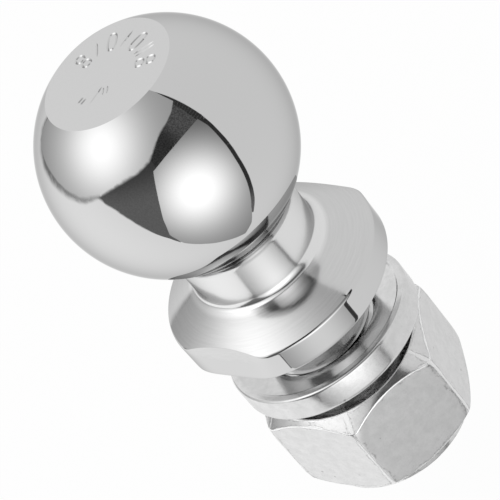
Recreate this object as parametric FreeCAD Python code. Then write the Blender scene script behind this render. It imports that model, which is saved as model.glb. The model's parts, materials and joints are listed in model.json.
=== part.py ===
import FreeCAD, Part
import math
import os

# Threaded tow ball: a ball stud, a split lock washer and a hexagon nut.
# Millimetres. +Z runs up the shank to the ball. The origin is the centre of the shank's end face,
# on which the part stands. The near wrench flat faces -Y.

# Ball and neck
ball_diameter = 50.8
flat_top_diameter = 27.2
neck_diameter = 28.0
neck_to_ball_fillet = 5.0
neck_to_cone_fillet = 2.0

# Flange: a cone above a straight rim, with two wrench flats. Each flat is two planes that meet in a
# crease: the lower plane leans out to the seat and the upper one leans in to the cone.
seat_to_ball_centre = 45.0
flange_diameter = 47.4
flange_rim_height = 6.3
flange_cone_angle = 30.0
flange_edge_radius = 0.4
wrench_flat_width = 42.5
wrench_flat_offset = 0.45
wrench_flat_crease_height = 5.4
wrench_flat_lower_lean = 8.0
wrench_flat_upper_lean = 18.0

# Shank and thread: the threaded length is drawn at the pitch diameter of a 60 degree thread
thread_diameter = 25.4
thread_pitch = 25.4 / 14
pitch_diameter_drop = 0.6495
shank_undersize = 0.5
shank_length = 47.6
shank_to_seat_fillet = 0.8
plain_shank_length = 6.0
shank_end_chamfer = 1.8

# Hexagon nut
nut_across_flats = 1.5 * thread_diameter
nut_height = 24.5
nut_face_inset = 2.1
nut_chamfer_angle = 47.0
nut_thread_clearance = 0.05
nut_bore_chamfer = 1.2
nut_below_seat = 21.8
nut_turn = 3.4

# Split lock washer: a left-hand coil of one turn that leans on the nut
washer_bore_clearance = 0.6
washer_wire_width = 8.03
washer_thickness = 6.35
washer_edge_radius = 0.8
washer_end_offset = 2.0
washer_split_opening = 0.6
washer_split_slant = 12.0
washer_split_azimuth = 97.0
washer_lean = 7.2
washer_lean_azimuth = -33.0
washer_seat_clearance = 0.05

# Heights above the shank's end face
seat_height = shank_length
ball_height = seat_height + seat_to_ball_centre
rim_top_height = seat_height + flange_rim_height
thread_top_height = seat_height - plain_shank_length
nut_top_height = seat_height - nut_below_seat

# Radii
ball_radius = ball_diameter / 2
flat_top_radius = flat_top_diameter / 2
neck_radius = neck_diameter / 2
flange_radius = flange_diameter / 2
shank_radius = (thread_diameter - shank_undersize) / 2
thread_radius = (thread_diameter - pitch_diameter_drop * thread_pitch) / 2
nut_corner_radius = nut_across_flats / 2 / math.cos(math.radians(30))
nut_face_radius = (nut_across_flats - nut_face_inset) / 2
nut_blank_radius = nut_corner_radius + nut_bore_chamfer
nut_bore_radius = thread_radius + nut_thread_clearance
washer_bore_radius = (thread_diameter + washer_bore_clearance) / 2
washer_outer_radius = washer_bore_radius + washer_wire_width
washer_middle_radius = washer_bore_radius + washer_wire_width / 2

vertical = FreeCAD.Vector(0, 0, 1)
centre = FreeCAD.Vector(0, 0, 0)


def at(radius, height):
    """Point of a turned profile, in the plane of X and Z."""
    return FreeCAD.Vector(radius, 0, height)


def line(start, end):
    """Straight edge of a profile."""
    return Part.LineSegment(start, end).toShape()


def arc(middle, radius, start, end):
    """Arc about a centre point, the short way from the start point to the end point."""
    halfway = (start - middle).normalize() + (end - middle).normalize()
    return Part.Arc(start, middle + halfway.normalize() * radius, end).toShape()


def turned(edges):
    """Solid of revolution about the Z axis of a closed profile."""
    profile = Part.Face(Part.Wire(edges))
    return profile.revolve(centre, vertical, 360)


def rounded_corner(before, corner, after, radius):
    """Arc of one radius that rounds a corner, with the points where it meets its two sides."""
    back = (before - corner).normalize()
    onward = (after - corner).normalize()
    half_angle = back.getAngle(onward) / 2
    start = corner + back * (radius / math.tan(half_angle))
    end = corner + onward * (radius / math.tan(half_angle))
    middle = corner + (back + onward).normalize() * (radius / math.sin(half_angle))
    return start, arc(middle, radius, start, end), end


def outline(corners):
    """Profile through a list of (point, radius) corners, rounded where the radius isn't zero."""
    edges = []
    last = corners[0][0]
    for index in range(1, len(corners)):
        corner, radius = corners[index]
        if radius == 0:
            edges.append(line(last, corner))
            last = corner
            continue
        start, edge, end = rounded_corner(last, corner, corners[index + 1][0], radius)
        edges.append(line(last, start))
        edges.append(edge)
        last = end
    return edges


def ball_edges():
    """Flat top, sphere and the hollow fillet that leads from the sphere into the neck."""
    ball_centre = at(0, ball_height)
    flat_height = ball_height + math.sqrt(ball_radius**2 - flat_top_radius**2)
    flat_edge = at(flat_top_radius, flat_height)
    fillet_reach = neck_radius + neck_to_ball_fillet
    fillet_drop = math.sqrt((ball_radius + neck_to_ball_fillet) ** 2 - fillet_reach**2)
    fillet_centre = at(fillet_reach, ball_height - fillet_drop)
    on_ball = ball_centre + (fillet_centre - ball_centre).normalize() * ball_radius
    on_neck = at(neck_radius, fillet_centre.z)
    equator = at(ball_radius, ball_height)
    edges = [
        line(at(0, flat_height), flat_edge),
        arc(ball_centre, ball_radius, flat_edge, equator),
        arc(ball_centre, ball_radius, equator, on_ball),
        arc(fillet_centre, neck_to_ball_fillet, on_ball, on_neck),
    ]
    return edges, flat_height, on_neck


def stud_edges():
    """Closed half profile of the whole stud, from the flat top round to the shank's end face."""
    edges, flat_height, on_neck = ball_edges()
    cone_rise = (flange_radius - neck_radius) * math.tan(math.radians(flange_cone_angle))
    end_radius = thread_radius - shank_end_chamfer
    edges += outline(
        [
            (on_neck, 0),
            (at(neck_radius, rim_top_height + cone_rise), neck_to_cone_fillet),
            (at(flange_radius, rim_top_height), flange_edge_radius),
            (at(flange_radius, seat_height), flange_edge_radius),
            (at(shank_radius, seat_height), shank_to_seat_fillet),
            (at(shank_radius, thread_top_height + shank_radius - thread_radius), 0),
            (at(thread_radius, thread_top_height), 0),
            (at(thread_radius, shank_end_chamfer), 0),
            (at(end_radius, 0), 0),
            (at(0, 0), 0),
            (at(0, flat_height), 0),
        ]
    )
    return edges


def wrench_flat_cut(side):
    """Prism that removes the flange outside one wrench flat, on side -1 or +1 of the XZ plane."""
    crease_out = wrench_flat_width / 2 - side * wrench_flat_offset
    crease_height = seat_height + wrench_flat_crease_height
    below = wrench_flat_crease_height + flange_edge_radius
    above = 2 * flange_rim_height
    foot_out = crease_out + below * math.tan(math.radians(wrench_flat_lower_lean))
    head_out = crease_out - above * math.tan(math.radians(wrench_flat_upper_lean))
    clear_out = flange_diameter
    section = [
        (foot_out, crease_height - below),
        (crease_out, crease_height),
        (head_out, crease_height + above),
        (clear_out, crease_height + above),
        (clear_out, crease_height - below),
        (foot_out, crease_height - below),
    ]
    corners = []
    for out, height in section:
        corners.append(FreeCAD.Vector(-flange_radius, side * out, height))
    face = Part.Face(Part.makePolygon(corners))
    return face.extrude(FreeCAD.Vector(flange_diameter, 0, 0))


def ball_stud():
    """Ball, neck, flange and shank, turned in one piece, with two flats cut on the flange."""
    stud = turned(stud_edges())
    for side in (-1, 1):
        stud = stud.cut(wrench_flat_cut(side))
    return stud


def hexagon_bar():
    """Hexagonal prism of the nut, with its corners turned to their place at rest."""
    corners = []
    for index in range(7):
        angle = math.radians(nut_turn + index * 360 / 6)
        across = nut_corner_radius * math.cos(angle)
        along = nut_corner_radius * math.sin(angle)
        corners.append(FreeCAD.Vector(across, along, nut_top_height - nut_height))
    face = Part.Face(Part.makePolygon(corners))
    return face.extrude(FreeCAD.Vector(0, 0, nut_height))


def chamfer_body():
    """Turned blank that gives the nut its two round faces and the arcs on its six sides."""
    drop = (nut_blank_radius - nut_face_radius) * math.tan(math.radians(nut_chamfer_angle))
    bottom = nut_top_height - nut_height
    corners = [
        (at(0, nut_top_height), 0),
        (at(nut_face_radius, nut_top_height), 0),
        (at(nut_blank_radius, nut_top_height - drop), 0),
        (at(nut_blank_radius, bottom + drop), 0),
        (at(nut_face_radius, bottom), 0),
        (at(0, bottom), 0),
        (at(0, nut_top_height), 0),
    ]
    return turned(outline(corners))


def nut_bore():
    """Bore of the nut with a chamfer at each mouth."""
    bottom = nut_top_height - nut_height
    mouth = nut_bore_radius + nut_bore_chamfer
    corners = [
        (at(0, nut_top_height), 0),
        (at(mouth, nut_top_height), 0),
        (at(nut_bore_radius, nut_top_height - nut_bore_chamfer), 0),
        (at(nut_bore_radius, bottom + nut_bore_chamfer), 0),
        (at(mouth, bottom), 0),
        (at(0, bottom), 0),
        (at(0, nut_top_height), 0),
    ]
    return turned(outline(corners))


def hex_nut():
    """Hexagon nut: a hexagonal bar with both ends chamfered, and a bore for the thread."""
    return hexagon_bar().common(chamfer_body()).cut(nut_bore())


def washer_section():
    """Section of the washer's wire: a rectangle with four rounded corners, about mid height."""
    half = washer_thickness / 2
    start = at(washer_middle_radius, half)
    corners = [
        (start, 0),
        (at(washer_outer_radius, half), washer_edge_radius),
        (at(washer_outer_radius, -half), washer_edge_radius),
        (at(washer_bore_radius, -half), washer_edge_radius),
        (at(washer_bore_radius, half), washer_edge_radius),
        (start, 0),
    ]
    return Part.Wire(outline(corners))


def washer_coil():
    """One left-hand turn of the wire, its split at azimuth zero and its low end below that azimuth."""
    spare = math.degrees(washer_split_opening / washer_outer_radius / 2)
    rise = washer_end_offset * (360 - spare) / 360
    path = Part.makeLongHelix(washer_end_offset, rise, washer_middle_radius, 0, True)
    coil = Part.Wire(path.Edges).makePipeShell([washer_section()], True, True)
    coil.rotate(centre, vertical, -spare / 2)
    coil.translate(FreeCAD.Vector(0, 0, -rise / 2))
    return coil


def split_slot():
    """Slanted slab that parts the two ends of the washer, at azimuth zero."""
    slant = math.radians(washer_split_slant)
    width = (washer_split_opening + washer_thickness * math.tan(slant)) * math.cos(slant)
    height = 3 * washer_thickness
    slot = Part.makeBox(2 * washer_outer_radius, width, height)
    slot.translate(FreeCAD.Vector(0, -width / 2, -height / 2))
    slot.rotate(centre, FreeCAD.Vector(1, 0, 0), washer_split_slant)
    return slot


def lowered_onto(piece, support):
    """Piece moved straight down until only the seat clearance is left above its support."""
    steps = 12
    for step in range(steps):
        gap = piece.distToShape(support)[0] - washer_seat_clearance
        piece.translate(FreeCAD.Vector(0, 0, -gap))
    return piece


def lock_washer(nut):
    """Split spring washer, loose on the shank: it leans, with its low side on the nut."""
    washer = washer_coil().cut(split_slot())
    washer.rotate(centre, vertical, washer_split_azimuth)
    lean_direction = math.radians(washer_lean_azimuth + 90)
    lean_axis = FreeCAD.Vector(math.cos(lean_direction), math.sin(lean_direction), 0)
    washer.rotate(centre, lean_axis, -washer_lean)
    washer.translate(FreeCAD.Vector(0, 0, nut_top_height + washer_outer_radius))
    return lowered_onto(washer, nut)


def main():
    """Write each piece to its own file."""
    os.makedirs("parts", exist_ok=True)
    nut = hex_nut()
    pieces = {
        "ball_stud": ball_stud(),
        "lock_washer": lock_washer(nut),
        "hex_nut": nut,
    }
    for name, shape in pieces.items():
        shape.exportStep("parts/" + name + ".step")


main()
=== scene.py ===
import json
import math

import bmesh
import bpy
import numpy as np
from mathutils import Matrix, Vector


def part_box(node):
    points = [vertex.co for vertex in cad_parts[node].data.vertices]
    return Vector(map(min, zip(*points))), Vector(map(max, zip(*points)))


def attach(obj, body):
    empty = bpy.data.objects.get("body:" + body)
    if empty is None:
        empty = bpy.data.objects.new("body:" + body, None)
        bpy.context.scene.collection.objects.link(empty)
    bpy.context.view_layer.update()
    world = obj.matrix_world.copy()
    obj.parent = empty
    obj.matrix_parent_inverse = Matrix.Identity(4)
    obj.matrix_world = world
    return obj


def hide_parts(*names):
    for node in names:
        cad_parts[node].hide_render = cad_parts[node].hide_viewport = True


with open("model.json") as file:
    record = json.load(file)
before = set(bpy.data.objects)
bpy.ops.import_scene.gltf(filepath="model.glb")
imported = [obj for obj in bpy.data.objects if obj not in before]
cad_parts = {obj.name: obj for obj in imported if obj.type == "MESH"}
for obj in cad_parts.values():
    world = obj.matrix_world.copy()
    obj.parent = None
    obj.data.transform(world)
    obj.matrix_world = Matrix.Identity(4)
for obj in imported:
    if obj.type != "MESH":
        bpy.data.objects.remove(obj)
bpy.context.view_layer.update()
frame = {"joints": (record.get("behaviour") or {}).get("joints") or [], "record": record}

# Threaded tow ball: a chromed ball stud, a zinc plated lock washer and a zinc plated hexagon nut.
# Metres, +Z up the shank to the ball, the origin at the centre of the shank's end face.
mm = 0.001

# Places that the frame states
mounts = {mount["name"]: mount for mount in frame["record"]["mounts"]}
ball_height = mounts["ball"]["pos_m"][2]
seat_height = mounts["flange_seat"]["pos_m"][2]
stud_low, stud_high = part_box("ball_stud")
nut_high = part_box("hex_nut")[1]
washer_low, washer_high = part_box("lock_washer")
nut_travel = next(joint for joint in frame["joints"] if joint["name"] == "nut_travel")
ball_radius = stud_high.x
top_height = stud_high.z

# Ball stud
neck_radius = 14.0 * mm
neck_to_ball_fillet = 5.0 * mm
neck_to_cone_fillet = 2.0 * mm
flange_radius = 23.7 * mm
flange_rim_height = 6.3 * mm
flange_cone_angle = math.radians(30)
flange_edge_radius = 0.8 * mm
flange_bevel = 0.3 * mm
flange_bevel_angle = math.radians(52)
flange_bevel_corner = 0.05 * mm
flange_cone_bulge = 0.19 * mm
flange_cone_shares = (0.3, 0.45, 0.6, 0.75, 0.9)
flange_side_heights = [height * mm for height in (5.6, 5.2, 4.4, 3.5, 2.6, 1.8, 1.1)]
near_flat_distance = 21.7 * mm
far_flat_distance = 20.8 * mm
flat_crease_height = seat_height + 5.4 * mm
flat_lower_lean = math.radians(8)
flat_upper_lean = math.radians(18)
flat_edge_radius = 0.15 * mm
flat_corner_blend = 0.9 * mm
flat_end_angles = (math.radians(54), math.radians(76))
shank_radius = 12.45 * mm
shank_to_seat_fillet = 0.8 * mm
shank_end_radius = 10.3 * mm

# Thread, shared by the stud and the nut
thread_pitch = 25.4 / 14 * mm
thread_run_out = 0.6 * mm
thread_crest_radius = 12.48 * mm
thread_depth = 0.98 * mm
thread_clearance = 0.1 * mm
thread_crest_share = 0.125
thread_root_share = 0.25
thread_root_rounding = 0.06 * mm

# Hexagon nut
nut_half_width = 19.05 * mm
nut_face_radius = 18.0 * mm
nut_chamfer_angle = math.radians(44)
nut_turn = math.radians(3.4)
nut_arris_radii = (3.0 * mm, 2.0 * mm, 1.2 * mm, 0.8 * mm)
nut_arris_steps = (0.0, 0.8 * mm, 2.0 * mm, 3.4 * mm)
nut_chamfer_edge = 0.5 * mm
nut_collar_height = 1.5 * mm
nut_collar_corner = 0.15 * mm
nut_foot_edge = 0.3 * mm
nut_lower_chamfer_angle = math.radians(38)
nut_face_edge = 0.7 * mm
nut_mouth_radius = 13.35 * mm
nut_foot = stud_low.z
nut_highest = nut_high.z + nut_travel["range_m"][1]
thread_top = nut_highest + thread_run_out - (nut_mouth_radius - shank_radius)

# Lock washer
washer_inner_radius = 13.0 * mm
washer_outer_radius = 21.03 * mm
washer_thickness = 6.35 * mm
washer_taper = math.radians(8)
washer_shoulder = 1.1 * mm
washer_rim_width = 1.9 * mm
washer_rim_height = 0.3 * mm
washer_rim_corner = 0.3 * mm
washer_rim_slope = 0.25 * mm
washer_edge_radius = 0.8 * mm
washer_lower_edge = 1.3 * mm
washer_rise = 2.0 * mm
washer_split_opening = 1.95 * mm
washer_split_slant = math.radians(12)
washer_split_azimuth = math.radians(97)
washer_lean = math.radians(7.2)
washer_lean_azimuth = math.radians(-33)

# Marks stamped into the flat top: grooves of a V section, in an arc and in a short row across from it
groove_half_width = 0.24 * mm
groove_depth = 0.2 * mm
groove_overlap = 0.1 * mm
mark_height = 4.4 * mm
mark_gap = 0.45 * mm
mark_lean = 0.25
mark_arc_radius = 8.4 * mm
mark_arc_start = 22
mark_arc_step = 23
mark_row = ((6.9 * mm, -108), (5.2 * mm, -84), (4.4 * mm, -62))

# Fineness of the meshes
stud_columns = 256
ball_rows = 110
top_rings = 24
fillet_steps = 9
nut_face_columns = 22
nut_arris_columns = 11
washer_columns = 256
oval_points = 28
bar_points = 6
sharp_edge_angle = math.radians(20)
weld_distance = 0.002 * mm
away_from_edges = 3 * mm


def arc_points(centre, radius, start, end, count):
    """Points on a circle in the plane of radius and height, from one angle to another."""
    angle = np.linspace(start, end, count)
    return np.stack([centre[0] + radius * np.cos(angle), centre[1] + radius * np.sin(angle)], -1)


def rounded_section(corners, radii):
    """Section with rounded corners, worked out for every column at once.

    Each corner is replaced by an arc that touches its two sides. Its tangent length is the radius
    divided by the tangent of half the corner's angle, and no more than 0.45 of the shorter side.
    The arc's points turn evenly about its centre, from one tangent point to the other. A corner
    whose radius is None stays as it is.
    """
    rows = [corners[0]]
    for index in range(1, len(corners) - 1):
        corner = corners[index]
        if radii[index] is None:
            rows.append(corner)
            continue
        back = corners[index - 1] - corner
        onward = corners[index + 1] - corner
        back_length = np.linalg.norm(back, axis=-1, keepdims=True)
        onward_length = np.linalg.norm(onward, axis=-1, keepdims=True)
        back = back / back_length
        onward = onward / onward_length
        half = np.arccos(np.clip(np.sum(back * onward, -1, keepdims=True), -1, 1)) / 2
        reach = np.reshape(radii[index], (-1, 1)) / np.tan(half)
        reach = np.minimum(reach, 0.45 * np.minimum(back_length, onward_length))
        inward = (back + onward) / np.linalg.norm(back + onward, axis=-1, keepdims=True)
        centre = corner + inward * reach / np.cos(half)
        start = corner + back * reach - centre
        end = corner + onward * reach - centre
        turn = math.pi - 2 * half
        for share in np.linspace(0, 1, fillet_steps):
            spoke = np.sin((1 - share) * turn) * start + np.sin(share * turn) * end
            rows.append(centre + spoke / np.sin(turn))
    rows.append(corners[-1])
    return np.array(rows)


def section_corners(corners, angles):
    """Corners as (radius, height) rows for every column, whether or not they change round."""
    return np.array([np.stack(np.broadcast_arrays(*corner, angles)[:2], -1) for corner in corners])


def spun(section, angles):
    """Section of (radius, height) rows, one for each column, set at its column's angle about Z."""
    across = section[..., 0] * np.cos(angles)
    along = section[..., 0] * np.sin(angles)
    return np.stack([across, along, section[..., 1] + 0 * angles], -1)


def closed_grid_faces(rows, columns):
    """Quads between the rows of a grid whose last column joins its first."""
    index = np.arange(rows * columns).reshape(rows, columns)
    across = np.roll(index, -1, axis=1)
    return np.stack([index[:-1], index[1:], across[1:], across[:-1]], -1).reshape(-1, 4)


def as_part(grid):
    """Points and faces of a grid that closes round its columns."""
    return grid.reshape(-1, 3), closed_grid_faces(*grid.shape[:2])


def cap(ring):
    """One flat face on a ring of points."""
    return ring, [list(range(len(ring)))]


def thread_profile():
    """Stations of 0 to 1 along one pitch, and the radius at each: crest, flank, root, flank."""
    flank = (1 - thread_crest_share - thread_root_share) / 2
    root_start = thread_crest_share + flank
    root_middle = root_start + thread_root_share / 2
    root_end = root_start + thread_root_share
    root = thread_crest_radius - thread_depth
    stations = [0, thread_crest_share, root_start, root_middle, root_end]
    radii = [thread_crest_radius, thread_crest_radius, root, root - thread_root_rounding, root]
    return np.array(stations), np.array(radii)


def thread_part(angles, low, high, limit):
    """Helical surface between two heights, whose rows follow the thread.

    A row's height grows by one pitch in a turn, and each pitch holds one row for each station of
    the profile. Heights are held between the two ends, so that rows beyond an end gather on its
    circle and weld there. The limit takes the thread's radius and the height of each point, and
    gives its final radius. Across the first column, each row joins the row one pitch further on.
    """
    stations, radii = thread_profile()
    turns = math.ceil((high - low) / thread_pitch) + 3
    first = math.floor(low / thread_pitch) - 1
    phase = (first + np.arange(turns)[:, None] + stations).reshape(-1, 1)
    height = np.clip(thread_pitch * (phase + angles / (2 * math.pi)), low, high)
    radius = limit(np.tile(radii, turns)[:, None] + 0 * height, height)
    points = np.stack([radius * np.cos(angles), radius * np.sin(angles), height], -1)
    rows, columns = height.shape
    row, column = np.meshgrid(np.arange(rows - 1), np.arange(columns), indexing="ij")
    across = (column + 1) % columns
    shifted = row + np.where(across == 0, len(stations), 0)
    lower = np.minimum(shifted, rows - 1) * columns + across
    upper = np.minimum(shifted + 1, rows - 1) * columns + across
    corners = [row * columns + column, lower, upper, (row + 1) * columns + column]
    return points.reshape(-1, 3), np.stack(corners, -1).reshape(-1, 4)


def add_object(name, data):
    """Object of a mesh or a camera, linked into the scene."""
    thing = bpy.data.objects.new(name, data)
    bpy.context.scene.collection.objects.link(thing)
    return thing


def add_fields(mesh, fields):
    """Gives the mesh a named value at each point, for its finish to read."""
    for field, values in fields.items():
        mesh.attributes.new(field, "FLOAT", "POINT").data.foreach_set("value", values.ravel())


def make_piece(name, parts, material, fields=None):
    """One closed mesh from (points, faces) parts, welded where they meet, with its sharp edges kept.

    The fields hold their values in the order of the parts' points.
    """
    faces = []
    first = 0
    for points, part_faces in parts:
        faces += [[int(corner) + first for corner in face] for face in part_faces]
        first += len(points)
    mesh = bpy.data.meshes.new(name)
    mesh.from_pydata(np.concatenate([points for points, _ in parts]), [], faces)
    add_fields(mesh, fields or {})
    built = bmesh.new()
    built.from_mesh(mesh)
    bmesh.ops.remove_doubles(built, verts=built.verts, dist=weld_distance)
    bmesh.ops.recalc_face_normals(built, faces=built.faces)
    built.to_mesh(mesh)
    built.free()
    mesh.shade_smooth()
    mesh.set_sharp_from_angle(angle=sharp_edge_angle)
    if material:
        mesh.materials.append(material)
    return add_object(name, mesh)


def stands_for(piece, node):
    """The piece rides on the body of its own node and is shown instead of it."""
    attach(piece, node)
    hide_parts(node)


def stud_angles():
    """Angles round the stud, three times as close near the ends of the flats as elsewhere."""
    angle = np.linspace(0, 2 * math.pi, 5000)
    turn = np.abs(np.sin(angle))
    low, high = np.sin(flat_end_angles)
    close = (turn > low) & (turn < high)
    count = np.cumsum(1.0 + 2.0 * close)
    share = np.arange(stud_columns) / stud_columns
    return np.interp(share * (count[-1] - count[0]) + count[0], count, angle)


def blended_minimum(first, second, width):
    """Lesser of two lengths, rounded off by a parabola where they differ by less than the width."""
    share = np.clip(0.5 + 0.5 * (second - first) / width, 0, 1)
    return second + (first - second) * share - width * share * (1 - share)


def flange_reach(angles, height):
    """Distance from the axis to the side of the flange, at one height.

    It is the flange's radius, or the distance to a wrench flat along the column if that is less. A
    flat's distance from the axis grows below its crease by the tangent of its lower lean, and
    shrinks above it by the tangent of its upper lean.
    """
    crease = np.where(np.sin(angles) > 0, far_flat_distance, near_flat_distance)
    below = np.maximum(flat_crease_height - height, 0) * math.tan(flat_lower_lean)
    above = np.maximum(height - flat_crease_height, 0) * math.tan(flat_upper_lean)
    flat = (crease + below - above) / np.maximum(np.abs(np.sin(angles)), 1e-6)
    return blended_minimum(flat, flange_radius, flat_corner_blend)


def flange_top(angles):
    """Where the cone ends on the flange's side, as a radius and a height, found by repeated steps."""
    rim_top = seat_height + flange_rim_height
    height = rim_top
    for _ in range(12):
        reach = np.minimum(flange_reach(angles, height), flange_radius)
        height = rim_top + (flange_radius - reach) * math.tan(flange_cone_angle)
    return reach, height


def stud_section(angles):
    """Rows of the stud from the edge of its flat top down to the thread, for each column.

    The ball, its hollow fillet and the neck are the same all round. The cone runs down to the side
    of the flange, so that each flat ends in the cone's hyperbola, and rows across the side follow
    the flats' two planes down to the seat.
    """
    top_angle = math.asin((top_height - ball_height) / ball_radius)
    fillet_reach = neck_radius + neck_to_ball_fillet
    fillet_drop = math.sqrt((ball_radius + neck_to_ball_fillet) ** 2 - fillet_reach**2)
    fillet_turn = math.atan2(fillet_drop, fillet_reach)
    fillet_centre = (fillet_reach, ball_height - fillet_drop)
    ball = arc_points((0, ball_height), ball_radius, top_angle, -fillet_turn, ball_rows)
    start = math.pi - fillet_turn
    fillet = arc_points(fillet_centre, neck_to_ball_fillet, start, math.pi, 2 * fillet_steps)
    upper = np.concatenate([ball, fillet[1:]])[:, None] + np.zeros((1, len(angles), 1))

    cone_top = seat_height + flange_rim_height
    cone_top += (flange_radius - neck_radius) * math.tan(flange_cone_angle)
    top_reach, top_level = flange_top(angles)
    edge = np.clip((flange_radius - top_reach) / flat_corner_blend, 0, 1)
    bevel = flange_bevel * (1 - 0.8 * edge)
    edge = flange_edge_radius + (flat_edge_radius - flange_edge_radius) * edge
    bevel_top = top_level + bevel * math.tan(flange_cone_angle)
    bevel_foot = bevel_top - bevel * math.tan(flange_bevel_angle)
    corners = [(neck_radius, fillet_centre[1]), (neck_radius, cone_top)]
    radii = [0, neck_to_cone_fillet]
    for share in flange_cone_shares:
        reach = neck_radius + (top_reach - bevel - neck_radius) * share
        straight = cone_top + (bevel_top - cone_top) * share
        corners.append((reach, straight + 4 * flange_cone_bulge * share * (1 - share)))
        radii.append(None)
    corners += [(top_reach - bevel, bevel_top), (flange_reach(angles, bevel_foot), bevel_foot)]
    radii += [flange_bevel_corner, edge]
    for height in flange_side_heights:
        place = seat_height + height
        corners.append((flange_reach(angles, place), place))
        radii.append(None)
    corners += [
        (flange_reach(angles, seat_height), seat_height),
        (shank_radius, seat_height),
        (shank_radius, thread_top),
    ]
    radii += [flange_edge_radius, shank_to_seat_fillet, 0]
    lower = rounded_section(section_corners(corners, angles), radii)
    return np.concatenate([upper, lower[1:]])


def groove(path, closed):
    """Cutter of a V section along a path in the plane: its two edges above the top, its root below.

    Each point of the path gives a left and a right edge, half a width to either side of the path
    as widened for the height above the top, and a root at the groove's depth. The ends of an open
    path run out to a tenth of the width and of the depth.
    """
    count = len(path)
    if closed:
        along = np.roll(path, -1, axis=0) - np.roll(path, 1, axis=0)
        size = np.ones(count)
    else:
        along = np.gradient(path, axis=0)
        size = np.clip(np.minimum(np.arange(count), np.arange(count)[::-1]), 0.1, 1)
    along = along / np.linalg.norm(along, axis=1, keepdims=True)
    side = np.stack([-along[:, 1], along[:, 0]], -1)
    half = (groove_half_width * (1 + groove_overlap / groove_depth) * size)[:, None]
    raised = np.full((count, 1), top_height + groove_overlap)
    root = (top_height - groove_depth * size)[:, None]
    rows = [
        np.concatenate([path + side * half, raised], 1),
        np.concatenate([path, root], 1),
        np.concatenate([path - side * half, raised], 1),
    ]
    points = np.stack(rows, 1).reshape(-1, 3)
    faces = []
    for index in range(count if closed else count - 1):
        onward = (index + 1) % count
        for corner in range(3):
            turn = (corner + 1) % 3
            faces.append([3 * index + corner, 3 * index + turn, 3 * onward + turn, 3 * onward + corner])
    if not closed:
        faces += [[2, 1, 0], [3 * count - 3, 3 * count - 2, 3 * count - 1]]
    return points, faces


def bar_path(middle, half_length, lean=0.0):
    """Straight path through a place, as far to either side as the half length."""
    share = np.linspace(-half_length, half_length, bar_points)[:, None]
    return np.array(middle) + share * np.array([[math.sin(lean), math.cos(lean)]])


def ring_path(middle, half_width, half_height):
    """Closed oval path: a superellipse of power 2.6 about a place."""
    turn = np.linspace(0, 2 * math.pi, oval_points, endpoint=False)
    power = 2 / 2.6
    across = np.sign(np.cos(turn)) * np.abs(np.cos(turn)) ** power * half_width
    up = np.sign(np.sin(turn)) * np.abs(np.sin(turn)) ** power * half_height
    return np.array(middle) + np.stack([across, up], -1)


def set_in_arc(path, radius, azimuth):
    """Path drawn about the mark's middle, with its height turned to point out from the axis."""
    outward = np.array([math.cos(azimuth), math.sin(azimuth)])
    sideways = np.array([outward[1], -outward[0]])
    return outward * radius + path[:, :1] * sideways + path[:, 1:] * outward


def stamped_marks():
    """Grooves of the plain marks: rings and bars, seven in an arc and three across from it."""
    tall = mark_height / 2
    wide = 0.42 * tall
    small = 0.45 * tall
    ring = [(ring_path((0, 0), wide, tall), True)]
    stacked = [
        (ring_path((0, tall - small), wide, small * 0.9), True),
        (ring_path((0, small - tall), wide, small * 0.9), True),
    ]
    bar = [(bar_path((0, 0), tall, mark_lean), False)]
    bars = [(bar_path((side * mark_gap, 0), tall), False) for side in (-1, 1)]
    short_bars = [(bar_path((side * mark_gap, 0), small), False) for side in (-1, 1)]
    arc = [stacked, bars, ring, bar, ring, bar, stacked]
    set_out = [
        (shape, mark_arc_radius, mark_arc_start + mark_arc_step * index)
        for index, shape in enumerate(arc)
    ]
    set_out += [(shape, *place) for shape, place in zip((short_bars, bar, short_bars), mark_row)]
    return [
        groove(set_in_arc(path, radius, math.radians(azimuth)), closed)
        for shape, radius, azimuth in set_out
        for path, closed in shape
    ]


def stamped(piece):
    """Cuts the marks into the piece's flat top and keeps the new edges sharp."""
    tool = make_piece("mark_cutter", stamped_marks(), None)
    cut = piece.modifiers.new("marks", "BOOLEAN")
    cut.operation = "DIFFERENCE"
    cut.solver = "MANIFOLD"
    cut.object = tool
    bpy.context.view_layer.update()
    shape = piece.evaluated_get(bpy.context.evaluated_depsgraph_get())
    mesh = bpy.data.meshes.new_from_object(shape)
    piece.modifiers.clear()
    piece.data = mesh
    mesh.set_sharp_from_angle(angle=sharp_edge_angle)
    bpy.data.objects.remove(tool)


def stud_thread_limit(radius, height):
    """Thread that runs out into the plain shank at its top, cut back by the chamfer at its end."""
    fade = np.clip((height - thread_top + thread_run_out) / thread_run_out, 0, 1)
    faded = radius + (shank_radius - radius) * fade
    return np.minimum(faded, shank_end_radius + height)


def make_stud(material):
    """Ball stud: the turned head and flange and the threaded shank, as one closed surface."""
    angles = stud_angles()
    section = stud_section(angles)
    share = np.linspace(0.04, 1, top_rings)[:-1, None, None]
    rings = share * section[:1] * (1, 0) + section[:1] * (0, 1)
    head = spun(np.concatenate([rings, section]), angles)
    end = spun(np.array([[[shank_end_radius, 0.0]]]), angles)
    thread = thread_part(angles, 0.0, thread_top, stud_thread_limit)
    piece = make_piece("tow_ball_stud", [cap(head[0]), as_part(head), thread, cap(end[0])], material)
    stamped(piece)
    stands_for(piece, "ball_stud")


def nut_angles():
    """Angles round the nut: close together on each rounded arris, and even along each side."""
    turn = arris_turn(nut_arris_radii[0])
    side = math.pi / 3
    arris = turn * np.linspace(-1, 1, nut_arris_columns)
    arris = arris * (0.3 + 0.7 * np.abs(arris) / turn)
    face = np.linspace(turn, side - turn, nut_face_columns + 2)[1:-1]
    one_side = np.concatenate([arris, face])
    return np.concatenate([nut_turn + index * side + one_side for index in range(6)])


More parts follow.
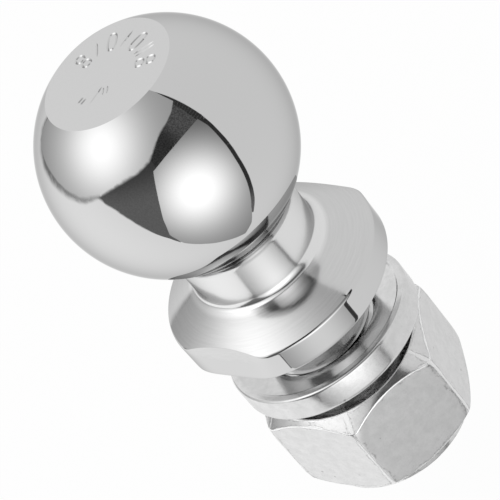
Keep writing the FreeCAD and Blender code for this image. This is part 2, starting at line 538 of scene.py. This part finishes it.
def arris_turn(arris_radius):
    """Half the angle that an arris's rounding covers, seen from the axis."""
    centre = (nut_half_width - arris_radius) / math.cos(math.pi / 6)
    across = arris_radius * math.sin(math.pi / 6)
    return math.atan2(across, centre + arris_radius * math.cos(math.pi / 6))


def off_arris(angles):
    """Angle between each direction and the nearest arris."""
    side = math.pi / 3
    return np.abs(np.mod(angles - nut_turn + side / 2, side) - side / 2)


def nut_reach(angles, arris_radius):
    """Distance from the axis to the hexagon with rounded arrises, in each direction.

    On a side it is the half width divided by the cosine of the angle from the side's middle. Near
    an arris it is the far crossing of the ray with the arris's circle.
    """
    side = math.pi / 3
    off = off_arris(angles)
    flat = nut_half_width / np.cos(side / 2 - off)
    centre = (nut_half_width - arris_radius) / math.cos(side / 2)
    inside = arris_radius**2 - (centre * np.sin(off)) ** 2
    rounded = centre * np.cos(off) + np.sqrt(np.maximum(inside, 0))
    return np.where(off < arris_turn(arris_radius), rounded, flat)


def nut_section(angles):
    """Rows round the nut's outside, from the bore's upper mouth to its lower mouth.

    Each arris is rounder near the chamfers than halfway up, and a low collar stands under the
    lower one. Returned with each row's distance to the nearest edge, and to the collar's foot.
    """
    reach = nut_reach(angles, nut_arris_radii[0])
    drop = (reach - nut_face_radius) * math.tan(nut_chamfer_angle)
    rise = nut_collar_height + (reach - nut_face_radius) * math.tan(nut_lower_chamfer_angle)
    face_edge = nut_face_edge * (1 + 0.25 * np.sin(5 * angles) * np.sin(2 * angles + 1))
    halfway = (reach + nut_face_radius) / 2
    between = (nut_mouth_radius + nut_face_radius) / 2
    top = nut_high.z - drop
    foot = nut_foot + rise
    corners = [
        (nut_mouth_radius, nut_high.z),
        (between, nut_high.z),
        (nut_face_radius, nut_high.z),
        (halfway, nut_high.z - drop / 2),
        (reach, top),
    ]
    radii = [0, None, face_edge, None, nut_chamfer_edge]
    steps = list(zip(nut_arris_radii, nut_arris_steps))[1:]
    for arris_radius, step in steps:
        corners.append((nut_reach(angles, arris_radius), top - step))
    corners.append((nut_reach(angles, nut_arris_radii[-1]), (top + foot) / 2))
    for arris_radius, step in reversed(steps):
        corners.append((nut_reach(angles, arris_radius), foot + step))
    radii += [None] * (2 * len(steps) + 1)
    lower_edge = len(corners)
    corners += [
        (reach, foot),
        (halfway, nut_foot + (rise + nut_collar_height) / 2),
        (nut_face_radius, nut_foot + nut_collar_height),
        (nut_face_radius, nut_foot),
        (between, nut_foot),
        (nut_mouth_radius, nut_foot),
    ]
    radii += [nut_chamfer_edge, None, nut_collar_corner, nut_foot_edge, None, 0]
    corners = section_corners(corners, angles)
    rows = rounded_section(corners, radii)
    edges = corners[[2, 4, lower_edge, lower_edge + 3]]
    edge_away = np.linalg.norm(rows[:, None] - edges[None], axis=-1).min(1)
    foot_away = np.linalg.norm(rows - corners[lower_edge + 2], axis=-1)
    return rows, edge_away, foot_away


def nut_thread_limit(radius, height):
    """Thread of the bore, clear of the stud's thread and cut back by the chamfer at each mouth."""
    depth = np.minimum(nut_high.z - height, height - nut_foot)
    return np.maximum(radius + thread_clearance, nut_mouth_radius - depth)


def make_nut(material):
    """Hexagon nut: both ends chamfered, the arrises rounded, the bore threaded."""
    angles = nut_angles()
    section, edge_away, foot_away = nut_section(angles)
    outside = spun(section, angles)
    bore = thread_part(angles, nut_foot, nut_high.z, nut_thread_limit)
    arris_away = section[..., 0] * np.sin(off_arris(angles))
    inside = np.full(len(bore[0]), away_from_edges)
    fields = {}
    for field, away in (("edge_away", edge_away), ("foot_away", foot_away), ("arris_away", arris_away)):
        fields[field] = np.concatenate([away.ravel(), inside])
    piece = make_piece("zinc_hex_nut", [as_part(outside), bore], material, fields)
    stands_for(piece, "hex_nut")


def washer_section():
    """Closed section of the washer's wire: a low rolled rim, and a top face falling towards the bore."""
    half = washer_thickness / 2
    rim_radius = washer_outer_radius - washer_rim_width
    middle = (washer_inner_radius + rim_radius) / 2
    face = half - washer_rim_height
    fall = (rim_radius - washer_inner_radius) * math.tan(washer_taper)
    corners = [
        (middle, face - fall / 2),
        (rim_radius - washer_rim_slope, face),
        (rim_radius + washer_rim_slope, half),
        (washer_outer_radius, half),
        (washer_outer_radius, -half),
        (washer_inner_radius, -half),
        (washer_inner_radius, face - fall),
        (middle, face - fall / 2),
    ]
    corners = np.array(corners)[:, None]
    radii = [0, washer_rim_corner, washer_rim_corner, washer_shoulder]
    radii += [washer_lower_edge, washer_edge_radius, washer_edge_radius, 0]
    return rounded_section(corners, radii)[:-1, 0]


def washer_grid(section):
    """Coil of one left-hand turn, its ends cut on two slanted planes either side of the split.

    Along the coil the height falls evenly by the rise. Each end lies where the distance across
    the split is half the opening, less the height times the tangent of the slant, and a point's
    azimuth runs evenly from its place on one end to its place on the other.
    """
    share = np.linspace(0, 1, washer_columns)[:, None]
    radius, height = section[:, 0], section[:, 1]
    slant = math.tan(washer_split_slant)
    half_opening = washer_split_opening / 2
    start = np.arcsin((half_opening - (height + washer_rise / 2) * slant) / radius)
    end = np.arcsin((-half_opening - (height - washer_rise / 2) * slant) / radius)
    azimuth = start + (2 * math.pi + end - start) * share + washer_split_azimuth
    level = height + washer_rise * (0.5 - share)
    return np.stack([radius * np.cos(azimuth), radius * np.sin(azimuth), level + 0 * azimuth], -1)


def leaned(points):
    """Points turned by the lean about a level axis, so that they rise in the lean's azimuth."""
    c, s = math.cos(washer_lean_azimuth), math.sin(washer_lean_azimuth)
    uphill = points[..., 0] * c + points[..., 1] * s
    level = points[..., 1] * c - points[..., 0] * s
    turned = uphill * math.cos(washer_lean) - points[..., 2] * math.sin(washer_lean)
    height = uphill * math.sin(washer_lean) + points[..., 2] * math.cos(washer_lean)
    return np.stack([turned * c - level * s, turned * s + level * c, height], -1)


def make_washer(material):
    """Split lock washer, loose on the shank, leaning as its node does."""
    grid = leaned(washer_grid(washer_section()))
    middle = (grid[..., 2].max() + grid[..., 2].min()) / 2
    grid[..., 2] += (washer_low.z + washer_high.z) / 2 - middle
    parts = [as_part(grid), cap(grid[0]), cap(grid[-1])]
    piece = make_piece("zinc_lock_washer", parts, material)
    stands_for(piece, "lock_washer")


def add_node(tree, kind, inputs=None, **settings):
    """Outputs of a new node, its inputs linked to sockets or set to values."""
    node = tree.nodes.new(kind)
    for name, value in settings.items():
        setattr(node, name, value)
    for name, value in (inputs or {}).items():
        if isinstance(value, bpy.types.NodeSocket):
            tree.links.new(value, node.inputs[name])
        else:
            node.inputs[name].default_value = value
    return node.outputs


def maths(tree, operation, first, second=0.0):
    """Output of one Math node."""
    return add_node(tree, "ShaderNodeMath", {0: first, 1: second}, operation=operation)[0]


def product(tree, first, second):
    """Product of two values."""
    return maths(tree, "MULTIPLY", first, second)


def vector_maths(tree, operation, inputs):
    """Outputs of one Vector Math node."""
    return add_node(tree, "ShaderNodeVectorMath", inputs, operation=operation)


def noise(tree, place, scale, detail, roughness=0.5):
    """Noise at a place, between 0 and 1."""
    inputs = {"Vector": place, "Scale": scale, "Detail": detail, "Roughness": roughness}
    return add_node(tree, "ShaderNodeTexNoise", inputs)["Fac"]


def object_place(tree):
    """Place on the piece, in metres."""
    return add_node(tree, "ShaderNodeTexCoord")["Object"]


def mesh_field(tree, name):
    """Value of a field that the mesh carries."""
    return add_node(tree, "ShaderNodeAttribute", attribute_name=name)["Fac"]


def off_axis(tree, place):
    """Distance of a place from the axis, its height, and the level vector out to it."""
    parts = add_node(tree, "ShaderNodeSeparateXYZ", {0: place})
    spoke = add_node(tree, "ShaderNodeCombineXYZ", {"X": parts["X"], "Y": parts["Y"]})[0]
    return vector_maths(tree, "LENGTH", {0: spoke})["Value"], parts["Z"], spoke


def new_material(name):
    """Material with an empty tree, and the tree itself."""
    material = bpy.data.materials.new(name)
    material.use_nodes = True
    tree = material.node_tree
    tree.nodes.clear()
    return material, tree


def finish_material(tree, surface):
    """Links the surface shader to the material's output."""
    add_node(tree, "ShaderNodeOutputMaterial", {"Surface": surface})


def new_group(name, inputs):
    """Shader group and the inner ends of its inputs, each a vector where it has no default."""
    group = bpy.data.node_groups.new(name, "ShaderNodeTree")
    for socket, default in inputs.items():
        kind = "NodeSocketVector" if default is None else "NodeSocketFloat"
        made = group.interface.new_socket(name=socket, in_out="INPUT", socket_type=kind)
        if default is not None:
            made.default_value = default
    return group, add_node(group, "NodeGroupInput")


def finish_group(group, found):
    """Gives the group a named float output for each value found."""
    for socket in found:
        group.interface.new_socket(name=socket, in_out="OUTPUT", socket_type="NodeSocketFloat")
    add_node(group, "NodeGroupOutput", found)
    return group


def use_group(tree, group, inputs):
    """Outputs of a group in use."""
    return add_node(tree, "ShaderNodeGroup", inputs, node_tree=group)


def ramp(tree, value, start, end, low=0.0, high=1.0):
    """Smooth step of a value between two places, from the low to the high result."""
    inputs = {"Value": value, "From Min": start, "From Max": end, "To Min": low, "To Max": high}
    return add_node(tree, "ShaderNodeMapRange", inputs, interpolation_type="SMOOTHSTEP")["Result"]


def turning_marks_group():
    """Fine lines left by turning: noise that changes fast with radius and height, slowly round."""
    inputs = {"Place": None, "Lines per metre": 3800.0, "Changes round": 3.0}
    group, given = new_group("turning_marks", inputs)
    lines = given["Lines per metre"]
    radius, height, spoke = off_axis(group, given["Place"])
    spoke = vector_maths(group, "NORMALIZE", {0: spoke})["Vector"]
    swept = vector_maths(group, "SCALE", {0: spoke, "Scale": given["Changes round"]})["Vector"]
    rise = add_node(group, "ShaderNodeCombineXYZ", {"Z": product(group, height, lines)})[0]
    inputs = {
        "Vector": vector_maths(group, "ADD", {0: swept, 1: rise})["Vector"],
        "W": product(group, radius, lines),
        "Scale": 1.0,
        "Detail": 3.0,
    }
    line = add_node(group, "ShaderNodeTexNoise", inputs, noise_dimensions="4D")["Fac"]
    return finish_group(group, {"Line": line})


def hairlines_group():
    """Thin scratches: narrow contour lines of noise that is drawn out in two directions."""
    group, given = new_group("hairlines", {"Place": None, "Across": 700.0, "Thinness": 0.006})
    found = []
    for turn in ((0.4, 0.3, 0.5), (1.3, -0.6, 2.1)):
        inputs = {"Vector": given["Place"], "Rotation": turn, "Scale": (1.0, 0.06, 1.0)}
        turned = add_node(group, "ShaderNodeMapping", inputs)[0]
        off = maths(group, "SUBTRACT", noise(group, turned, given["Across"], 0.0), 0.5)
        off = maths(group, "ABSOLUTE", off)
        found.append(maths(group, "LESS_THAN", off, given["Thinness"]))
    kept = ramp(group, noise(group, given["Place"], 220.0, 1.0), 0.55, 0.62)
    line = product(group, maths(group, "MAXIMUM", found[0], found[1]), kept)
    return finish_group(group, {"Line": line})


def plated_mottle_group():
    """Uneven plating: broad patches, a fine grain, and sparse small nicks, set as counts per metre."""
    inputs = {"Place": None, "Patches": 420.0, "Grains": 3000.0, "Nicks": 420.0}
    group, given = new_group("plated_mottle", inputs)
    place = given["Place"]
    patch = noise(group, place, given["Patches"], 5.0, 0.65)
    grain = noise(group, place, given["Grains"], 2.0, 0.6)
    inputs = {"Vector": place, "Scale": given["Nicks"]}
    cell = add_node(group, "ShaderNodeTexVoronoi", inputs)
    chosen = add_node(group, "ShaderNodeSeparateColor", {0: cell["Color"]})[0]
    size = ramp(group, chosen, 0.7, 1.0, 0.0, 0.13)
    nick = ramp(group, maths(group, "SUBTRACT", size, cell["Distance"]), -0.02, 0.03)
    return finish_group(group, {"Patch": patch, "Grain": grain, "Nick": nick})


def edge_wear_and_painted_light_group():
    """Mask of a line along an edge, for wear and painted light, and of a dark outline beside it.

    Both widths follow slow noise, and fine noise frays them a little.
    """
    group, given = new_group("edge_wear_and_painted_light", {"Place": None, "Distance": 0.0, "Width": 0.0004})
    slow = noise(group, given["Place"], 260.0, 2.0)
    fray = noise(group, given["Place"], 1500.0, 3.0, 0.6)
    share = ramp(group, slow, 0.3, 0.7, 0.35, 1.5)
    share = product(group, share, ramp(group, fray, 0.3, 0.7, 0.7, 1.3))
    width = product(group, given["Width"], share)
    away = maths(group, "DIVIDE", given["Distance"], width)
    line_mask = ramp(group, away, 0.6, 1.0, 1.0, 0.0)
    outer = product(group, ramp(group, away, 0.9, 1.3), ramp(group, away, 1.4, 2.0, 1.0, 0.0))
    outline = product(group, outer, ramp(group, fray, 0.4, 0.6))
    return finish_group(group, {"Edge line": line_mask, "Outline": outline})


def stud_zones_group():
    """Where the stud's turned neck and cone lie, its neck alone, its flat top, and its shank."""
    group, given = new_group("stud_zones", {"Place": None})
    radius, height, _ = off_axis(group, given["Place"])
    middle = (0, 0, ball_height)
    from_ball = vector_maths(group, "DISTANCE", {0: given["Place"], 1: middle})["Value"]
    below_ball = ramp(group, from_ball, ball_radius + 0.1 * mm, ball_radius + 1.5 * mm)
    inside_rim = ramp(group, radius, flange_radius - 0.9 * mm, flange_radius - 0.4 * mm, 1.0, 0.0)
    over_seat = ramp(group, height, seat_height + 4.0 * mm, seat_height + 5.0 * mm)
    turned = product(group, product(group, below_ball, inside_rim), over_seat)
    near_neck = ramp(group, radius, neck_radius + 1.2 * mm, neck_radius + 2.4 * mm, 1.0, 0.0)
    neck = product(group, turned, near_neck)
    top = ramp(group, height, top_height - 0.04 * mm, top_height - 0.01 * mm)
    shank = ramp(group, height, seat_height - 0.5 * mm, seat_height - 0.1 * mm, 1.0, 0.0)
    return finish_group(group, {"Turned": turned, "Neck": neck, "Top": top, "Shank": shank})


def blend(tree, share, first, second):
    """Value between two others by a share."""
    inputs = {"Factor": share, 2: first, 3: second}
    return add_node(tree, "ShaderNodeMix", inputs, data_type="FLOAT")[0]


def grey(tree, value):
    """Grey of a value."""
    return add_node(tree, "ShaderNodeCombineColor", {0: value, 1: value, 2: value})[0]


def plated(tree, tone, rough, tint, height, lift, depth):
    """Gives the tree a metal surface of a tone, under a bump of a strength and a depth."""
    inputs = {"Height": height, "Strength": lift, "Distance": depth}
    bump = add_node(tree, "ShaderNodeBump", inputs)[0]
    inputs = {
        "Base Color": grey(tree, tone),
        "Metallic": 1.0,
        "Roughness": rough,
        "Specular Tint": (tint, tint, tint, 1),
        "Normal": bump,
    }
    finish_material(tree, add_node(tree, "ShaderNodeBsdfPrincipled", inputs)[0])


def chrome_material():
    """Chrome plate: mirror bright on the ball, faintly turned on the neck and cone, dull on the shank;
    the neck's lighter tone is a painted highlight.
    """
    material, tree = new_material("chrome_plate")
    place = object_place(tree)
    zones = use_group(tree, stud_zones_group(), {"Place": place})
    fine = use_group(tree, turning_marks_group(), {"Place": place})["Line"]
    hair = use_group(tree, hairlines_group(), {"Place": place})["Line"]
    polished = ramp(tree, noise(tree, place, 90.0, 4.0), 0.35, 0.7, 0.016, 0.034)
    polished = maths(tree, "ADD", polished, product(tree, hair, 0.05))
    finishes = {
        "Turned": (ramp(tree, fine, 0.3, 0.7, 0.09, 0.14), ramp(tree, fine, 0.3, 0.7, 0.61, 0.64)),
        # The neck's lighter tone of 0.77 is a painted highlight: it brightens the neck's reflection
        "Neck": (0.16, 0.77),
        "Top": (0.06, 0.66),
        "Shank": (ramp(tree, fine, 0.3, 0.7, 0.09, 0.15), ramp(tree, fine, 0.3, 0.7, 0.56, 0.66)),
    }
    rough, tone = polished, 0.628
    for zone, (zone_rough, zone_tone) in finishes.items():
        rough = blend(tree, zones[zone], rough, zone_rough)
        tone = blend(tree, zones[zone], tone, zone_tone)
    height = product(tree, fine, maths(tree, "ADD", zones["Turned"], zones["Shank"]))
    plated(tree, tone, rough, 0.6, height, 0.12, 0.00002)
    return material


def zinc_material(name, groups, edge_lines, lift, dull):
    """Bright zinc plate: mottled and nicked, with lines along the edges that the piece's fields tell.

    Each edge line is a field, a width, and the tone that the line along it takes: light lines are
    partly wear and partly painted highlight, and a dark line is painted shade. The lift is the
    strength of the bump, and the dull value is the roughness between the patches.
    """
    material, tree = new_material(name)
    place = object_place(tree)
    mottle = use_group(tree, groups["mottle"], {"Place": place})
    patch = ramp(tree, mottle["Patch"], 0.32, 0.7)
    grain = ramp(tree, mottle["Grain"], 0.3, 0.75)
    tone = blend(tree, patch, 0.65, 0.71)
    tone = product(tree, tone, ramp(tree, mottle["Grain"], 0.28, 0.5, 0.93, 1.0))
    tone = blend(tree, mottle["Nick"], tone, 0.45)
    smooth = ramp(tree, mottle["Patch"], 0.3, 0.7, dull, dull - 0.05)
    rough = maths(tree, "ADD", smooth, product(tree, grain, 0.05))
    for field, width, line_tone in edge_lines:
        inputs = {"Place": place, "Distance": mesh_field(tree, field), "Width": width}
        edge_marks = use_group(tree, groups["edge_marks"], inputs)
        # Light edge lines are partly wear and partly painted highlight; the dark line at the collar's
        # foot is painted shade
        tone = blend(tree, edge_marks["Edge line"], tone, line_tone)
        tone = blend(tree, product(tree, edge_marks["Outline"], 0.7), tone, 0.36)
        rough = blend(tree, edge_marks["Edge line"], rough, 0.3)
    height = maths(tree, "SUBTRACT", product(tree, mottle["Grain"], 0.35), mottle["Nick"])
    height = maths(tree, "ADD", height, product(tree, mottle["Patch"], 0.6))
    plated(tree, tone, rough, 0.85, height, lift, 0.00005)
    return material


# Studio: cards on a sphere about the ball, each ruled between two edges of (azimuth, elevation)
card_distance = 0.9
card_gap = 1.02
card_rulings = 60
card_rows = 30
surroundings_distance = 1.2 * card_distance
floor_half_width = 3.0
floor_gap = 0.2 * mm
left_box_lower = [(16, 52.5), (0, 50.5), (-15, 49), (-35, 45), (-44, 40), (-56, 31.5), (-71, 26),
                  (-92, 19.5), (-111, 10.5), (-129, 4), (-143, 2.5), (-159, 1), (-174, -2), (-183, -3.5)]
left_box_upper = [(21, 61), (34, 70), (-171, 57), (-178, 32), (-184, 9)]
right_box_left = [(-19, 32.5), (-40, 30), (-57.5, 24.5), (-65, 4), (-71, -13), (-79, -32), (-78, -46),
                  (-70, -59), (-58, -71)]
right_box_right = [(7.5, 30), (7.5, 20), (5, 6), (2, -14), (0.5, -29), (-1.5, -46), (-4, -59),
                   (-3, -75), (-20, -82)]
paper_edge_outer = [(34, 71), (25, 62), (18.5, 49), (13.5, 30), (9, 8), (5.5, -16), (4, -37),
                    (2.5, -55), (-1, -66)]
paper_edge_inner = [(30, 71), (14, 58), (10, 46), (6, 30), (3, 8), (-2, -16), (-4, -37),
                    (-6, -50), (-6, -64)]
gap_upper = [(17, 55), (0, 54), (-15, 53), (-35, 48), (-48, 42), (-60, 34)]
gap_lower = [(13, 28), (0, 27), (-15, 27), (-35, 26), (-48, 24), (-60, 20)]
wedge_right = [(-54, 34), (-54, 22), (-60, 4), (-66, -13), (-78, -36), (-78.5, -43)]
wedge_left = [(-92, 24), (-117, 9.5), (-104, 1), (-96, -9), (-89, -22), (-82, -35), (-79.5, -43)]
rim_gap_lower = [(-112, 9), (-129, 0), (-143, -3), (-159, -6), (-174, -9), (-183, -9),
                 (-188, -3), (-187, 12)]
rim_gap_upper = [(-112, 14), (-129, 8), (-143, 8), (-159, 8), (-174, 8), (-178, 6), (-180, 12)]


def toward(places):
    """Unit vectors of (azimuth, elevation) places in degrees."""
    azimuth, elevation = np.radians(np.asarray(places, float)).T
    across = np.cos(elevation)
    return np.stack([across * np.cos(azimuth), across * np.sin(azimuth), np.sin(elevation)], -1)


def spread(points, count):
    """Points set evenly along a line of points, by its length."""
    step = np.linalg.norm(np.diff(points, axis=0), axis=1)
    along = np.concatenate([[0], np.cumsum(step)])
    even = np.linspace(0, along[-1], count)
    return np.stack([np.interp(even, along, points[:, axis]) for axis in range(3)], -1)


def stand_in_studio(name, mesh, material, in_view=False):
    """Stage object of a mesh, seen in mirrors, and by the camera only if it is in view."""
    mesh.materials.append(material)
    thing = add_object(name, mesh)
    thing.visible_camera = in_view
    return thing


def make_card(name, first_edge, second_edge, distance, material):
    """Card of the studio: straight rulings between its two edges, pushed out to a sphere.

    Its points carry their share of the way along the edges, and from the first to the second.
    """
    first = spread(toward(first_edge), card_rulings)
    second = spread(toward(second_edge), card_rulings)
    share = np.linspace(0, 1, card_rows)[:, None, None]
    grid = first * (1 - share) + second * share
    grid = grid / np.linalg.norm(grid, axis=-1, keepdims=True) * distance
    grid[..., 2] += ball_height
    rows, columns = grid.shape[:2]
    faces = closed_grid_faces(rows, columns).reshape(rows - 1, columns, 4)[:, :-1]
    mesh = bpy.data.meshes.new(name)
    mesh.from_pydata(grid.reshape(-1, 3), [], faces.reshape(-1, 4).tolist())
    along, across = np.meshgrid(np.linspace(0, 1, columns), np.linspace(0, 1, rows))
    add_fields(mesh, {"along": along, "across": across})
    stand_in_studio(name, mesh, material)


def make_surroundings(distance, material):
    """Pale sphere round the studio."""
    mesh = bpy.data.meshes.new("surroundings")
    built = bmesh.new()
    bmesh.ops.create_uvsphere(built, u_segments=64, v_segments=32, radius=distance)
    bmesh.ops.translate(built, verts=built.verts, vec=(0, 0, ball_height))
    built.to_mesh(mesh)
    built.free()
    stand_in_studio("surroundings", mesh, material)


def lit(tree, strength):
    """White light of a strength."""
    return add_node(tree, "ShaderNodeEmission", {"Color": (1, 1, 1, 1), "Strength": strength})[0]


def mix_shaders(tree, share, first, second):
    """Mix of two shaders by a share."""
    return add_node(tree, "ShaderNodeMixShader", {0: share, 1: first, 2: second})[0]


def clear(tree):
    """Shader that lets everything through."""
    return add_node(tree, "ShaderNodeBsdfTransparent")[0]


def card_fade(tree, light, soft):
    """Light of a card that fades out within the given shares of its way across, frayed by noise."""
    across = mesh_field(tree, "across")
    fray = ramp(tree, noise(tree, object_place(tree), 12.0, 3.0), 0.35, 0.65, 0.7, 1.0)
    first = product(tree, fray, soft[0] + 1e-4)
    last = maths(tree, "SUBTRACT", 1.0, product(tree, fray, soft[1] + 1e-4))
    begun = ramp(tree, across, 0.0, first)
    shown = product(tree, begun, ramp(tree, across, last, 1.0, 1.0, 0.0))
    return mix_shaders(tree, shown, clear(tree), light)


def glow_material(name, edge, bells, soft=None):
    """Cloth of a lit soft box: an even edge level, and bell curves of the angle from their centres.

    Each bell is its centre, its peak, and the angle in degrees at which it falls to 0.37 of that.
    """
    material, tree = new_material(name)
    offset = vector_maths(tree, "ADD", {0: object_place(tree), 1: (0, 0, -ball_height)})["Vector"]
    ray = vector_maths(tree, "NORMALIZE", {0: offset})["Vector"]
    level = edge
    for centre, peak, width in bells:
        aim = tuple(toward([centre])[0])
        match = vector_maths(tree, "DOT_PRODUCT", {0: ray, 1: aim})["Value"]
        scaled = maths(tree, "DIVIDE", maths(tree, "ARCCOSINE", match), math.radians(width))
        power = product(tree, maths(tree, "POWER", scaled, 2.0), -1.0)
        bell = maths(tree, "EXPONENT", power)
        level = maths(tree, "ADD", product(tree, bell, peak), level)
    light = lit(tree, level)
    finish_material(tree, card_fade(tree, light, soft) if soft else light)
    return material


def dark_card(name, levels, weave, soft=(0.0, 0.0)):
    """Dark card whose level changes along it, from (share along, level) steps, under a faint weave."""
    material, tree = new_material(name)
    along = mesh_field(tree, "along")
    level = levels[0][1]
    for (start, before), (end, after) in zip(levels[:-1], levels[1:]):
        level = maths(tree, "ADD", level, ramp(tree, along, start, end, 0.0, after - before))
    woven = noise(tree, object_place(tree), 55.0, 4.0)
    woven = ramp(tree, woven, 0.35, 0.65, 1.0 - weave, 1.0 + weave)
    finish_material(tree, card_fade(tree, lit(tree, product(tree, level, woven)), soft))
    return material


def make_studio():
    """White surroundings, two soft boxes, and the dark gaps round them that the chrome mirrors."""
    world = bpy.data.worlds.new("white_surroundings")
    world.use_nodes = True
    background = world.node_tree.nodes["Background"].inputs
    background["Color"].default_value = (1, 1, 1, 1)
    background["Strength"].default_value = 1.0
    bpy.context.scene.world = world
    left_bells = [((-109.3, 48.8), 1.1, 33.7), ((-138, 28), 0.18, 54.5)]
    right_bells = [((-37, -8.2), 1.66, 34.2), ((-39, -62), 0.3, 43.6)]
    left_glow = glow_material("left_box_cloth", 0.44, left_bells, (0.085, 0.02))
    right_glow = glow_material("right_box_cloth", 0.106, right_bells, (0.006, 0.006))
    pale = glow_material("pale_surroundings", 0.86, [((-150, -25), 0.3, 75)])
    paper = dark_card("dark_paper_edge", [(0.8, 0.04), (0.95, 0.17)], 0.2, (0.1, 0.0))
    gap = dark_card("dark_gap", [(0.3, 0.1), (0.55, 0.04)], 0.35)
    wedge = dark_card("dark_wedge", [(0.0, 0.06), (0.45, 0.155)], 0.08, (0.0, 0.12))
    rim = dark_card("dark_rim", [(0.0, 0.5), (0.8, 0.25)], 0.1, (0.6, 0.0))
    make_card("left_soft_box", left_box_lower, left_box_upper, card_distance, left_glow)
    make_card("right_soft_box", right_box_left, right_box_right, card_distance, right_glow)
    behind = card_distance * card_gap
    make_card("paper_edge", paper_edge_outer, paper_edge_inner, behind, paper)
    make_card("gap_between_boxes", gap_upper, gap_lower, behind, gap)
    make_card("wedge_between_boxes", wedge_right, wedge_left, behind, wedge)
    make_card("rim_gap", rim_gap_lower, rim_gap_upper, behind * card_gap, rim)
    make_surroundings(surroundings_distance, pale)


def make_floor():
    """Pale floor, just below the lowest place that the nut reaches, and clear from beneath."""
    height = nut_foot + nut_travel["range_m"][0] - floor_gap
    mesh = bpy.data.meshes.new("floor")
    corners = floor_half_width * np.array([(-1, -1, 0), (1, -1, 0), (1, 1, 0), (-1, 1, 0)])
    mesh.from_pydata(corners + (0, 0, height), [], [(0, 1, 2, 3)])
    material, tree = new_material("pale_floor")
    path = add_node(tree, "ShaderNodeLightPath")
    seen = maths(tree, "MAXIMUM", path["Is Camera Ray"], path["Is Glossy Ray"])
    seen = maths(tree, "MAXIMUM", seen, path["Is Transmission Ray"])
    paint = add_node(tree, "ShaderNodeBsdfDiffuse", {"Color": (0.9, 0.9, 0.9, 1)})[0]
    upper = mix_shaders(tree, product(tree, seen, 0.95), paint, lit(tree, 1.0))
    under = add_node(tree, "ShaderNodeNewGeometry")["Backfacing"]
    finish_material(tree, mix_shaders(tree, under, upper, clear(tree)))
    stand_in_studio("floor", mesh, material, in_view=True).visible_glossy = False


# Camera at the photograph's place: azimuth and elevation of its line of sight, distance and roll
camera_azimuth = math.radians(-32.74)
camera_elevation = math.radians(38.95)
camera_distance = 0.487
camera_roll = math.radians(-39.99)
camera_target = (0.0, 0.0, 57.6 * mm)
camera_aim = (-1.49 * mm, 0.17 * mm, 59.26 * mm)
camera_lens = 176.4


def make_camera():
    """Camera on its line of sight, turned a little to aim beside its target, and rolled."""
    across = math.cos(camera_elevation)
    outward = Vector((math.cos(camera_azimuth), math.sin(camera_azimuth), 0))
    level = Vector((-outward.y, outward.x, 0))
    sight = outward * across + Vector((0, 0, math.sin(camera_elevation)))
    place = Vector(camera_target) + sight * camera_distance
    back = (place - Vector(camera_aim)).normalized()
    upright = back.cross(level).normalized()
    level = upright.cross(back)
    right = level * math.cos(camera_roll) + upright * math.sin(camera_roll)
    up = upright * math.cos(camera_roll) - level * math.sin(camera_roll)
    data = bpy.data.cameras.new("camera")
    data.lens = camera_lens
    camera = add_object("camera", data)
    camera.matrix_world = Matrix.Translation(place) @ Matrix((right, up, back)).transposed().to_4x4()
    bpy.context.scene.camera = camera


make_camera()
make_studio()
make_floor()
make_stud(chrome_material())
groups = {"mottle": plated_mottle_group(), "edge_marks": edge_wear_and_painted_light_group()}
edge_lines = [
    # Light lines along the nut's edges and arrises: partly wear, partly painted highlight of the light
    # that the rounded edges catch
    ("edge_away", 0.3 * mm, 0.9),
    ("arris_away", 0.38 * mm, 0.82),
    # Dark line in the crease at the collar's foot: painted shade
    ("foot_away", 0.35 * mm, 0.25),
]
make_nut(zinc_material("zinc_nut", groups, edge_lines, lift=0.25, dull=0.18))
make_washer(zinc_material("zinc_washer", groups, [], lift=0.08, dull=0.19))
bpy.context.scene.view_settings.view_transform = "Standard"
